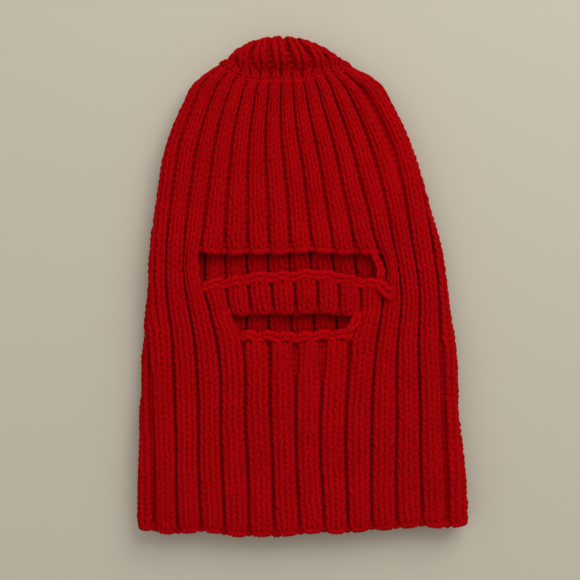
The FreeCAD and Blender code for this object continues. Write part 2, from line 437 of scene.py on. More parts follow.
class Tube:
    """The flattened tube of ribs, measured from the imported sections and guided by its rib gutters."""

    def __init__(self, rib: Rib) -> None:
        """Measure the folds at each section's boundary.

        Args:
            rib: How the yarn lies in the ribs, for the layer's thickness.
        """
        lowest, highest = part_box("hem_edge")
        room_for_swells = 0.8 * MM
        self.middle = (lowest.z + highest.z) / 2
        self.radius = (highest.z - lowest.z) / 2 - rib.half_depth - room_for_swells
        self.hem = lowest.y
        self.collar_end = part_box("neck_front")[0].y
        self.mouth_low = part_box("mouth_lower_edge")[1].y
        self.neck_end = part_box("face_back")[0].y
        self.mouth_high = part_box("mouth_upper_edge")[0].y
        self.bridge_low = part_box("nose_bridge")[0].y
        self.bridge_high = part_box("nose_bridge")[1].y
        self.eye_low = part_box("eye_lower_edge")[1].y
        self.eye_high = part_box("eye_upper_edge")[0].y
        self.brow_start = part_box("brow_front")[0].y
        self.brow_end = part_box("dome_front")[0].y
        self.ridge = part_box("crown_front")[0].y
        self.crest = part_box("crown_gather")[0].y
        middle_face = (self.bridge_low + self.bridge_high) / 2
        middle_dome = (self.brow_end + self.ridge) / 2
        self.heights = [
            self.hem, self.collar_end, self.neck_end, middle_face, self.brow_start,
            self.brow_end, middle_dome, self.ridge,
        ]
        # The outline goes on above the ridge, where the outer ribs reach higher than the middle ones.
        dome = [self.brow_end + (self.ridge - self.brow_end) * share for share in (0.25, 0.5, 0.75, 0.97)]
        above = [self.ridge + (self.crest - self.ridge) * share for share in (0.28, 0.56)]
        brow = [self.brow_start + (self.brow_end - self.brow_start) * share for share in (0.35, 0.7)]
        folds = [self._span("hem_edge"), self._span("neck_front"), self._span("face_back")]
        folds += [self._narrowing("brow_front", height) for height in brow]
        folds += [self._narrowing("dome_front", height) for height in dome]
        folds += [self._narrowing("crown_front", height) for height in above]
        self.outline = self.heights[:3] + brow + dome + above
        inset = 0.74 * rib.half_depth
        self.left = [low + inset for low, _ in folds]
        self.right = [high - inset for _, high in folds]
        # Where the gutters beside the slits run, as shares of the width between the folds.
        self.gutter_left = [0.256, 0.241, 0.226, 0.189, 0.179, 0.182, 0.186, 0.206]
        self.gutter_right = [0.716, 0.730, 0.757, 0.794, 0.790, 0.769, 0.749, 0.733]
        # Ribs from those gutters to the folds.
        self.ribs_left = [3.70, 3.56, 3.20, 3.02, 2.94, 2.90, 2.82, 2.62]
        self.ribs_right = [3.86, 3.66, 3.60, 3.50, 3.44, 3.16, 3.20, 3.40]
        # How much higher a course lies at each fold than in the middle.
        self.lift_left = [value * MM for value in (0.8, 0.8, 0.5, 0.0, 1.0, 3.5, 7.0, 10.5)]
        self.lift_right = [value * MM for value in (4.6, 1.8, 0.0, 0.0, 1.5, 4.0, 7.0, 10.5)]

    @staticmethod
    def _span(node: str) -> tuple[float, float]:
        """Measure a node from side to side.

        Args:
            node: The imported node.

        Returns:
            Its left and right reach.
        """
        low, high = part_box(node)
        return low.x, high.x

    @staticmethod
    def _narrowing(node: str, height: float) -> tuple[float, float]:
        """Measure a node from side to side at one height.

        Args:
            node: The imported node.
            height: Where the plane that cuts it lies along the tube.

        Returns:
            The cut's left and right reach.
        """
        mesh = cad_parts[node].data
        points = np.array([vertex.co[:] for vertex in mesh.vertices])
        edges = np.array([edge.vertices[:] for edge in mesh.edges])
        start, end = points[edges[:, 0]], points[edges[:, 1]]
        crosses = (start[:, 1] - height) * (end[:, 1] - height) < 0
        start, end = start[crosses], end[crosses]
        share = (height - start[:, 1]) / (end[:, 1] - start[:, 1])
        reach = start[:, 0] + (end[:, 0] - start[:, 0]) * share
        return float(reach.min()), float(reach.max())

    def guide(self, height: np.ndarray) -> Guide:
        """Read every guide line.

        Args:
            height: Places along the tube.

        Returns:
            The guide lines at these heights.
        """
        lift_left = smooth_line(self.heights, self.lift_left, height)
        lift_right = smooth_line(self.heights, self.lift_right, height)
        # The gutters follow the outline only part of the way up to where the folds' courses reach.
        gutter_lift = 0.25
        start = smooth_line(self.outline, self.left, height + gutter_lift * lift_left)
        width = smooth_line(self.outline, self.right, height + gutter_lift * lift_right) - start
        return Guide(
            left=smooth_line(self.outline, self.left, height + lift_left),
            right=smooth_line(self.outline, self.right, height + lift_right),
            gutter_left=start + width * smooth_line(self.heights, self.gutter_left, height),
            gutter_right=start + width * smooth_line(self.heights, self.gutter_right, height),
            ribs_left=smooth_line(self.heights, self.ribs_left, height),
            ribs_right=smooth_line(self.heights, self.ribs_right, height),
            lift_left=lift_left,
            lift_right=lift_right,
        )

    def flat(self, ribs: np.ndarray, height: np.ndarray, middle_ribs: int) -> tuple[np.ndarray, np.ndarray]:
        """Find points on the middle of the fabric, and the fabric's outward direction there.

        Args:
            ribs: Rib coordinate, from 0 at the gutter left of the slits and rising to the right.
            height: Place along the tube.
            middle_ribs: Ribs between the two gutters.

        Returns:
            The points and the outward directions.
        """
        ribs = np.mod(ribs, middle_ribs + SIDE_AND_BACK_RIBS)
        guide = self.guide(height)
        in_middle = ribs <= middle_ribs
        side_x, side_angle = self._round_sides(ribs - middle_ribs, guide)
        across = self._across_middle(ribs, height, middle_ribs)
        middle_x = guide.gutter_left + (guide.gutter_right - guide.gutter_left) * across
        x = np.where(in_middle, middle_x, side_x) + self._spread(ribs, height, middle_ribs)
        angle = np.where(in_middle, math.pi / 2, side_angle)
        y = height + self._rise(x, height, guide) - self._droop(ribs, height, middle_ribs)
        z = self.middle + self.radius * np.sin(angle)
        points = np.stack([x, y, z], axis=-1) + self._ripple(x, y, z)
        outward = np.stack([np.cos(angle), 0 * x, np.sin(angle)], axis=-1)
        return points, outward

    def _across_middle(self, ribs: np.ndarray, height: np.ndarray, middle_ribs: int) -> np.ndarray:
        """Find places between the two gutters.

        The rib beside each slit keeps its line past the mouth, where the middle loses two ribs.

        Args:
            ribs: Rib coordinates.
            height: Places along the tube.
            middle_ribs: Ribs between the two gutters.

        Returns:
            The shares of the way from the left gutter to the right one.
        """
        past_mouth = 1 - smooth_step(self.neck_end, self.bridge_low, height)
        outer = 1 / HEAD_MIDDLE + (1 / NECK_MIDDLE - 1 / HEAD_MIDDLE) * past_mouth
        inner = outer + (1 - 2 * outer) * (ribs - 1) / (middle_ribs - 2)
        from_right = np.where(ribs > middle_ribs - 1, 1 - outer * (middle_ribs - ribs), inner)
        return np.where(ribs < 1, outer * ribs, from_right)

    def _round_sides(self, beyond: np.ndarray, guide: Guide) -> tuple[np.ndarray, np.ndarray]:
        """Follow the tube from the right gutter over the right fold, the back and the left fold.

        Args:
            beyond: Ribs past the right gutter.
            guide: The guide lines at these heights.

        Returns:
            The sideways places and the angles of the fabric's outward direction.
        """
        radius = self.radius
        quarter = radius * math.pi / 2
        right_flat = guide.right - radius - guide.gutter_right
        left_flat = guide.gutter_left - guide.left - radius
        back = guide.right - guide.left - 2 * radius
        back_ribs = SIDE_AND_BACK_RIBS - guide.ribs_left - guide.ribs_right
        past_right = beyond - guide.ribs_right
        past_back = past_right - back_ribs
        along_right = beyond * (right_flat + quarter) / guide.ribs_right
        along_back = right_flat + quarter + past_right * (back + 2 * quarter) / back_ribs
        along_left = right_flat + back + 3 * quarter + past_back * (left_flat + quarter) / guide.ribs_left
        along = np.where(past_right < 0, along_right, np.where(past_back < 0, along_back, along_left))
        after_right = along - right_flat
        after_back = after_right - 2 * quarter - back
        right_turn = np.clip(after_right / (2 * quarter), 0, 1) * math.pi
        left_turn = np.clip(after_back / (2 * quarter), 0, 1) * math.pi
        right_run = np.minimum(along, right_flat)
        back_run = np.clip(after_right - 2 * quarter, 0, back)
        left_run = np.maximum(after_back - 2 * quarter, 0)
        x = guide.gutter_right + right_run - back_run + left_run
        x = x + radius * (np.sin(right_turn) - np.sin(left_turn))
        return x, math.pi / 2 - right_turn - left_turn

    def layer(self, middle_ribs: int) -> Surface:
        """Give the surface with this many ribs between the gutters.

        Args:
            middle_ribs: Ribs between the two gutters.

        Returns:
            The surface.
        """
        return partial(self.flat, middle_ribs=middle_ribs)

    def _rise(self, x: np.ndarray, height: np.ndarray, guide: Guide) -> np.ndarray:
        """Find how far a course lies above its middle, which grows towards the folds.

        Args:
            x: Sideways places.
            height: Places along the tube.
            guide: The guide lines at these heights.

        Returns:
            The rises.
        """
        centre = (guide.left + guide.right) / 2
        share = (x - centre) / (guide.right - guide.left) * 2
        lift = np.where(share < 0, guide.lift_left, guide.lift_right)
        bowl = np.minimum(np.abs(share), 1.05) ** 2.4
        shelf = 1 - bell(share, 0.0, 0.38)
        near_hem = 1 - smooth_step(self.hem, self.collar_end, height)
        whole_hem = 2.9 * MM
        corners = 3.4 * MM * smooth_step(0.84, 1.06, np.abs(share))
        dip = 1.6 * MM * bell(share, -0.3, 0.2)
        return lift * (bowl + (shelf - bowl) * near_hem) + (whole_hem + corners - dip) * near_hem**3

    def _droop(self, ribs: np.ndarray, height: np.ndarray, middle_ribs: int) -> np.ndarray:
        """Find how far the courses sag at both ends of the eye slit.

        Args:
            ribs: Rib coordinates.
            height: Places along the tube.
            middle_ribs: Ribs between the two gutters.

        Returns:
            The sags.
        """
        if middle_ribs != HEAD_MIDDLE:
            return np.zeros_like(height)
        from_left = np.minimum(np.abs(ribs), np.abs(ribs - HEAD_RIBS))
        left_end = 7.4 * MM * bell(from_left, 0.0, 1.4)
        right_end = 5.6 * MM * bell(ribs, middle_ribs, 1.3)
        return (left_end + right_end) * bell(height, self.eye_low - 4 * MM, 13 * MM)

    def _spread(self, ribs: np.ndarray, height: np.ndarray, middle_ribs: int) -> np.ndarray:
        """Find how far the fabric beside the eye slit is pulled away from it.

        Args:
            ribs: Rib coordinates.
            height: Places along the tube.
            middle_ribs: Ribs between the two gutters.

        Returns:
            The sideways moves.
        """
        if middle_ribs != HEAD_MIDDLE:
            return np.zeros_like(height)
        from_left = np.where(ribs > HEAD_RIBS / 2, ribs - HEAD_RIBS, ribs)
        pull_left = 4.6 * MM * bell(from_left, 0.0, 0.8)
        pull_right = 5.4 * MM * bell(ribs, middle_ribs, 0.8)
        return (pull_right - pull_left) * bell(height, (self.eye_low + self.eye_high) / 2, 13 * MM)

    @staticmethod
    def _ripple(x: np.ndarray, y: np.ndarray, z: np.ndarray) -> np.ndarray:
        """Find the slight waviness of a soft fabric: sideways drift of the ribs and gentle swells.

        Args:
            x: Sideways places.
            y: Places along the tube.
            z: Heights above the floor.

        Returns:
            The move of each point.
        """
        between_layers = 12 * MM
        side = np.sign(z - between_layers)
        drift = (
            0.5 * np.sin(x * 47 + y * 31 + side) + 0.25 * np.sin(y * 72 - x * 83 + 2.1 * side)
        )
        along = 0.7 * np.sin(x * 78 + 1.3 * side) + 0.5 * np.sin(x * 157 + y * 34)
        swell = 0.45 * (np.sin(x * 52 - y * 38 + 0.4) + np.sin(y * 71 + x * 29 + 1.9) - 1.2)
        return np.stack([drift * MM, along * MM, swell * side * MM], axis=-1)


def rib_pitch(surface: Surface, ribs: np.ndarray, height: np.ndarray) -> np.ndarray:
    """Measure the width of a rib on a surface.

    Args:
        surface: The surface.
        ribs: Rib coordinates.
        height: Places along the ribs.

    Returns:
        The width of one rib at each place.
    """
    nudge = 0.08
    ahead, _ = surface(ribs + nudge, height)
    behind, _ = surface(ribs - nudge, height)
    return np.linalg.norm(ahead - behind, axis=-1) / (2 * nudge)


@dataclass
class Knitter:
    """Knits courses of rib on a surface.

    Attributes:
        rib: How the yarn lies.
        surface: Gives points and outward directions from rib coordinates and places along the ribs.
        seed: Seed for the small unevenness of hand knitting.
        ease: Where the folds slacken.
        detail: Steps in one stitch.
        drift: Unevenness of the stitches' sideways places, in stitches.
        stretch: Unevenness of their height.
        wander: Unevenness of their places along the ribs, in courses.
        stand: Unevenness of how far their legs stand out.
        lumps: Unevenness of the yarn's radius.
        purl_plumper: How much thicker the yarn looks in a purl wale.
    """

    rib: Rib
    surface: Surface
    seed: int
    ease: Ease = Ease()
    detail: int = 14
    drift: float = 0.04
    stretch: float = 0.03
    wander: float = 0.05
    stand: float = 0.1
    lumps: float = 0.03
    purl_plumper: float = 0.2

    def courses(
        self, first: float, last: float, places: np.ndarray, gap: float
    ) -> tuple[np.ndarray, np.ndarray]:
        """Knit courses between two gutters.

        Args:
            first: Rib coordinate at which the courses start.
            last: Rib coordinate at which they end.
            places: Where each course lies along the ribs.
            gap: Distance between courses, in the units of places.

        Returns:
            The yarn's path in each course, and its radius along the path.
        """
        rib = self.rib
        chance = np.random.default_rng(self.seed)
        stitches = round((last - first) * rib.stitches)
        step = np.arange(stitches * self.detail + 1)
        stitch = np.minimum(step // self.detail, stitches - 1)
        turn = (step / self.detail - stitch) * TURN - math.pi
        across = stitch + 0.5 + turn / TURN + rib.lean * np.sin(2 * turn)
        courses = len(places)
        knots = np.arange(stitches + 1)
        where = step / self.detail

        def uneven(size: float) -> np.ndarray:
            """Draw a smooth unevenness along each course.

            Args:
                size: How large it is.

            Returns:
                The unevenness at each step of each course.
            """
            draws = chance.normal(0, size, (courses, stitches + 1))
            return np.stack([np.interp(where, knots, row) for row in draws])

        ribs = first + across[None] / rib.stitches + uneven(self.drift) / rib.stitches
        swing = rib.reach * np.cos(turn)[None] * (1 + uneven(self.stretch))
        height = places[:, None] + gap * (swing + uneven(self.wander))
        ease = self.ease.shares(ribs, height)
        bent, out = rib.bend(ribs, ease)
        pitch = rib_pitch(self.surface, bent, height)
        wave = -np.cos(TURN * ribs)
        slope_across, slope_out = rib.slope(ribs, ease)
        slope_across = slope_across * pitch
        length = np.hypot(slope_across, slope_out)
        facing = np.tanh(3 * wave)
        relief = -rib.relief * facing * np.cos(2 * turn)[None] * (1 + uneven(self.stand))
        bent = bent - relief * slope_out / length / pitch
        out = out + relief * slope_across / length
        points, outward = self.surface(bent, height)
        plump = 1 + self.purl_plumper * np.clip(-2 * wave, 0, 1)
        radius = rib.radius(pitch) * plump * (1 + uneven(self.lumps))
        return points + outward * out[..., None], radius


@dataclass
class Line:
    """A line laid on the fabric, with the direction out of the fabric at each of its points.

    Attributes:
        points: The line's points.
        outward: The outward direction at each point.
    """

    points: np.ndarray
    outward: np.ndarray

    @classmethod
    def on(
        cls, surface: Surface, ribs: np.ndarray, height: np.ndarray, out: np.ndarray | float
    ) -> "Line":
        """Lay a line on a surface.

        Args:
            surface: The surface.
            ribs: Rib coordinate of each point.
            height: Place of each point along the ribs.
            out: How far out of the surface each point stands.

        Returns:
            The line.
        """
        points, outward = surface(ribs, height)
        return cls(points + outward * np.broadcast_to(out, ribs.shape)[..., None], outward)

    def __post_init__(self) -> None:
        """Measure the distance along the line."""
        steps = np.linalg.norm(np.diff(self.points, axis=0), axis=1)
        self.along = np.concatenate([[0.0], np.cumsum(steps)])

    @property
    def length(self) -> float:
        """Measure the whole line.

        Returns:
            Its length.
        """
        return float(self.along[-1])

    def at(self, distance: np.ndarray, across: np.ndarray, out: np.ndarray) -> np.ndarray:
        """Find points beside the line.

        Args:
            distance: Distance along the line, which goes straight on past both ends.
            across: Distance to the line's left, seen from outside.
            out: Distance out of the fabric.

        Returns:
            The points.
        """
        outward = self._read(self.outward, distance)
        ahead = unit(self._read(np.gradient(self.points, self.along, axis=0), distance))
        beyond = distance - np.clip(distance, 0, self.length)
        side = unit(np.cross(outward, ahead))
        place = self._read(self.points, distance) + ahead * beyond[..., None]
        return place + side * across[..., None] + unit(outward) * out[..., None]

    def _read(self, vectors: np.ndarray, distance: np.ndarray) -> np.ndarray:
        """Read vectors that are known at the line's points.

        Args:
            vectors: One vector for each point.
            distance: Distance along the line.

        Returns:
            The vectors at these distances.
        """
        return np.stack([np.interp(distance, self.along, axis) for axis in vectors.T], axis=-1)


@dataclass(frozen=True)
class Chain:
    """A bound-off chain: loops that each come out of the one before.

    Attributes:
        link: Distance from one loop to the next.
        half_width: Half the distance between a loop's legs.
        yarn: Diameter of the yarn.
        relief: How far the legs stand in front of the heads.
        detail: Points in a loop.
        closed: How far round a loop the yarn goes, where 1 would close it.
        reach: Half a loop's length, in links.
        taper: How much narrower a loop is at its foot.
        unequal: Unevenness of the loops' size.
        drift: Unevenness of their sideways places.
        stand: Unevenness of how far they stand out.
    """

    link: float = 4.6 * MM
    half_width: float = 2.75 * MM
    yarn: float = 4.7 * MM
    relief: float = 1.3 * MM
    detail: int = 17
    closed: float = 0.94
    reach: float = 0.8
    taper: float = 0.36
    unequal: float = 0.13
    drift: float = 0.45 * MM
    stand: float = 0.35 * MM

    def work(self, line: Line, mesh: YarnMesh, seed: int) -> None:
        """Work the chain along a line.

        Args:
            line: Where the chain runs.
            mesh: What collects the yarn.
            seed: Seed for the loops' unevenness.
        """
        chance = np.random.default_rng(seed)
        count = max(1, round(line.length / self.link))
        link = line.length / count
        middle = (np.arange(count) + 0.5)[:, None] * link
        turn = np.linspace(-self.closed, self.closed, self.detail)[None] * math.pi
        size = 1 + chance.normal(0, self.unequal, (count, 1))
        distance = middle + self.reach * link * np.cos(turn) * size
        width = self.half_width * size * (1 - self.taper + self.taper * np.cos(turn))
        across = width * np.sin(turn) + chance.normal(0, self.drift, (count, 1))
        out = -self.relief * np.cos(2 * turn) + chance.normal(0, self.stand, (count, 1))
        mesh.add(line.at(distance, across, out), self.yarn / 2)


@dataclass(frozen=True)
class Rope:
    """A cast-on edge: two strands that wrap round each other once for every stitch.

    Attributes:
        yarn: Diameter of a strand.
        swing: How far a strand's middle is from the rope's.
        lay: Length of one wrap.
        detail: Steps in one wrap.
    """

    yarn: float = 3.4 * MM
    swing: float = 1.15 * MM
    lay: float = 4.6 * MM
    detail: int = 10

    def work(self, line: Line, mesh: YarnMesh) -> None:
        """Lay the rope along a line.

        Args:
            line: Where the rope runs.
            mesh: What collects the yarn.
        """
        wraps = max(1, round(line.length / self.lay))
        share = np.linspace(0, 1, wraps * self.detail + 1)
        strands = []
        for phase in (0.0, math.pi):
            angle = share * wraps * TURN + phase
            strands.append(
                line.at(share * line.length, self.swing * np.cos(angle), self.swing * np.sin(angle))
            )
        mesh.add(np.stack(strands), self.yarn / 2)


@dataclass
class Studio:
    """The plain floor, the soft light and the camera.

    Attributes:
        aim: What the camera looks straight down at.
        distance: From the camera to that point.
        shown: Width of what the camera sees at that distance.
        sensor: Width of the camera's sensor, in millimetres.
        floor: Colour of the floor.
        air: Colour of the light from all round.
        glow: Its strength.
    """

    aim: tuple[float, float, float] = (-0.010, -0.0033, 0.0125)
    distance: float = 0.9
    shown: float = 0.4292
    sensor: float = 36.0
    floor: tuple[float, float, float, float] = (0.48, 0.437, 0.352, 1.0)
    air: tuple[float, float, float, float] = (1.0, 0.985, 0.96, 1.0)
    glow: float = 0.5

    def build(self) -> None:
        """Make the floor, the lights, the world and the camera."""
        bpy.ops.mesh.primitive_plane_add(size=6)
        floor = bpy.context.object
        floor.name = "floor"
        floor.data.materials.append(self._floor_finish())
        self._light("key", (0.55, 0.95, 1.05), 1.2, 18.0)
        self._light("fill", (-0.9, 0.1, 1.4), 1.6, 5.0)
        self._world()
        self._camera()
        bpy.context.scene.view_settings.view_transform = "Standard"

    def _world(self) -> None:
        """Light the scene softly from all round."""
        world = bpy.data.worlds.new("studio")
        bpy.context.scene.world = world
        world.use_nodes = True
        background = world.node_tree.nodes["Background"]
        background.inputs["Color"].default_value = self.air
        background.inputs["Strength"].default_value = self.glow

    def _camera(self) -> None:
        """Hang the camera over the object."""
        camera = bpy.data.cameras.new("camera")
        camera.sensor_width = self.sensor
        camera.lens = self.sensor * self.distance / self.shown
        holder = bpy.data.objects.new("camera", camera)
        x, y, z = self.aim
        holder.location = (x, y, z + self.distance)
        bpy.context.scene.collection.objects.link(holder)
        bpy.context.scene.camera = holder

    def _floor_finish(self) -> bpy.types.Material:
        """Make a plain pale finish for the floor.

        Returns:
            The material.
        """
        material = bpy.data.materials.new("floor")
        material.use_nodes = True
        shader = material.node_tree.nodes["Principled BSDF"]
        shader.inputs["Base Color"].default_value = self.floor
        shader.inputs["Roughness"].default_value = 0.9
        return material

    @staticmethod
    def _light(name: str, place: tuple[float, float, float], size: float, power: float) -> None:
        """Add a square soft light that points at the object.

        Args:
            name: The light's name.
            place: Where it stands.
            size: Its width.
            power: Its power in watts.
        """
        light = bpy.data.lights.new(name, "AREA")
        light.size = size
        light.energy = power
        holder = bpy.data.objects.new(name, light)
        holder.location = place
        holder.rotation_euler = (-Vector(place)).to_track_quat("-Z", "Y").to_euler()
        bpy.context.scene.collection.objects.link(holder)


class Slot(Enum):
    """The record's material slots."""

    RIB = "wool_rib"
    EDGE = "wool_edge"
    CROWN = "wool_crown"


class Value:
    """A number inside a shader, which can be added, multiplied and so on like any other.

    Attributes:
        graph: The shader that it belongs to.
        socket: The socket that gives it.
    """

    def __init__(self, graph: "Graph", socket: bpy.types.NodeSocket) -> None:
        """Wrap a socket.

        Args:
            graph: The shader that it belongs to.
            socket: The socket that gives the number.
        """
        self.graph = graph
        self.socket = socket

    def __add__(self, other: "Value | float") -> "Value":
        """Add a number to this one.

        Args:
            other: The number.

        Returns:
            The result.
        """
        return self.graph.maths("ADD", self, other)

    __radd__ = __add__

    def __sub__(self, other: "Value | float") -> "Value":
        """Take a number from this one.

        Args:
            other: The number.

        Returns:
            The result.
        """
        return self.graph.maths("SUBTRACT", self, other)

    def __rsub__(self, other: "Value | float") -> "Value":
        """Take this one from a number.

        Args:
            other: The number.

        Returns:
            The result.
        """
        return self.graph.maths("SUBTRACT", other, self)

    def __mul__(self, other: "Value | float") -> "Value":
        """Multiply this one by a number.

        Args:
            other: The number.

        Returns:
            The result.
        """
        return self.graph.maths("MULTIPLY", self, other)

    __rmul__ = __mul__

    def __truediv__(self, other: "Value | float") -> "Value":
        """Divide this one by a number.

        Args:
            other: The number.

        Returns:
            The result.
        """
        return self.graph.maths("DIVIDE", self, other)

    def sine(self) -> "Value":
        """Take the sine.

        Returns:
            The sine.
        """
        return self.graph.maths("SINE", self)


Input = Value | float | tuple[float, ...]


class Graph:
    """A material's shader, written as sums.

    Attributes:
        material: The material.
        shader: Its Principled BSDF.
    """

    def __init__(self, name: str) -> None:
        """Start a material.

        Args:
            name: The material's name.
        """
        self.material = bpy.data.materials.new(name)
        self.material.use_nodes = True
        self.shader = self.material.node_tree.nodes["Principled BSDF"]

    def node(
        self, kind: str, inputs: dict[str | int, Input], output: str | int = 0, **settings: object
    ) -> Value:
        """Make any shader node.

        Args:
            kind: The node's Blender type.
            inputs: What goes into each socket.
            output: The socket to read.
            settings: The node's own settings.

        Returns:
            The node's output.
        """
        node = self.material.node_tree.nodes.new(kind)
        for key, setting in settings.items():
            setattr(node, key, setting)
        for key, given in inputs.items():
            self.give(node, key, given)
        return Value(self, node.outputs[output])

    def give(self, node: bpy.types.Node, key: str | int, given: Input) -> None:
        """Link a value to a socket, or set the socket to a constant.

        Args:
            node: The node.
            key: Its socket.
            given: The value or the constant.
        """
        if isinstance(given, Value):
            self.material.node_tree.links.new(given.socket, node.inputs[key])
        else:
            node.inputs[key].default_value = given

    def maths(self, operation: str, *given: Value | float) -> Value:
        """Work out one operation.

        Args:
            operation: The operation's Blender name.
            given: The numbers that it works on.

        Returns:
            The result.
        """
        return self.node("ShaderNodeMath", dict(enumerate(given)), operation=operation)

    def noise(self, place: Value, scale: float, detail: float = 2.0) -> Value:
        """Read a soft noise between 0 and 1.

        Args:
            place: Where to read it.
            scale: How fine it is.
            detail: How many finer layers it has.

        Returns:
            The noise.
        """
        inputs = {"Vector": place, "Scale": scale, "Detail": detail, "Roughness": 0.6}
        return self.node("ShaderNodeTexNoise", inputs, "Fac")


@dataclass(frozen=True)
class Wool:
    """A red wool finish: plies that wrap round the yarn, with painted shade in the grooves between them,
    and a haze of fine fibres.

    Attributes:
        name: The material's name.
        colour: The wool's mean colour.
        plies: Plies in the yarn.
        twists: Turns of the plies in a metre of yarn.
        relief: How deep the grooves between plies are.
        patches: How fine the uneven dyeing is.
        fibres: How fine the fibres are.
    """

    name: str
    colour: tuple[float, float, float]
    plies: float = 3.0
    twists: float = 75.0
    relief: float = 0.55 * MM
    patches: float = 38.0
    fibres: float = 1500.0

    def material(self) -> bpy.types.Material:
        """Make the wool's material.

        Returns:
            The material.
        """
        graph = Graph(self.name)
        place = graph.node("ShaderNodeTexCoord", {}, "Object")
        yarn = graph.node("ShaderNodeUVMap", {}, uv_map="Yarn")
        along = graph.node("ShaderNodeSeparateXYZ", {"Vector": yarn}, "X")
        around = graph.node("ShaderNodeSeparateXYZ", {"Vector": yarn}, "Y")
        patches = graph.noise(place, self.patches)
        fibres = graph.noise(place, self.fibres, 3.0)
        twist = (around * self.plies + along * self.twists + patches * 0.5) * TURN
        ply = twist.sine() * 0.5 + 0.5
        # The ply term darkens the colour in the grooves between plies, where the bump sinks: painted shade.
        # The patches add uneven dyeing and the fibres a random tone.
        shade = 0.62 + 0.22 * ply + 0.30 * patches + 0.22 * (fibres - 0.5)
        red, green, blue = self.colour
        channels = {"X": shade * red, "Y": shade * green, "Z": shade * blue}
        tint = graph.node("ShaderNodeCombineXYZ", channels)
        graph.give(graph.shader, "Base Color", tint)
        graph.give(graph.shader, "Roughness", 0.80 + 0.18 * fibres)
        height = ply * 0.7 + fibres * 0.5
        bump = {"Height": height, "Strength": 0.75, "Distance": self.relief}
        graph.give(graph.shader, "Normal", graph.node("ShaderNodeBump", bump, "Normal"))
        constants = {"Specular IOR Level": 0.04, "Sheen Weight": 0.08, "Sheen Roughness": 0.5}
        for key, given in constants.items():
            graph.give(graph.shader, key, given)
        graph.give(graph.shader, "Sheen Tint", (1.0, 0.03, 0.04, 1.0))
        return graph.material


@dataclass(frozen=True)
class Finishes:
    """The material of each slot.

    Attributes:
        rib: Of the rib sections.
        edge: Of the edges.
        crown: Of the crown.
    """

    rib: bpy.types.Material
    edge: bpy.types.Material
    crown: bpy.types.Material

    def of(self, slot: Slot) -> bpy.types.Material:
        """Give a slot's material.

        Args:
            slot: The record's material slot.

        Returns:
            The material.
        """
        return {Slot.RIB: self.rib, Slot.EDGE: self.edge, Slot.CROWN: self.crown}[slot]

    def dress(self, mesh: YarnMesh, node: str, slot: Slot) -> None:
        """Make the piece that stands for a node and tie it to the frame.

        Args:
            mesh: The piece's yarn.
            node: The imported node.
            slot: The record's material slot.
        """
        piece = mesh.piece(f"{node}_knit")
        piece.data.materials.append(self.of(slot))
        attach(piece, "root")
        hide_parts(node)
        LOG.info("%s: %d faces", piece.name, len(piece.data.polygons))


def band(low: float, high: float, count: int) -> tuple[np.ndarray, float]:
    """Spread courses evenly over a band.

    Args:
        low: The band's lower end.
        high: The band's upper end.
        count: Number of courses.

    Returns:
        Each course's middle and the distance between courses.
    """
    gap = (high - low) / count
    return low + gap * (np.arange(count) + 0.5), gap


@dataclass(frozen=True)
class Panel:
    """One knitted section of the tube.

    Attributes:
        node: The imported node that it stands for.
        middle: Ribs between the gutters beside the slits.
        runs: First gutter, last gutter and courses of each run.
        gap: Distance between courses.
    """

    node: str
    middle: int
    runs: tuple[tuple[float, float, np.ndarray], ...]
    gap: float


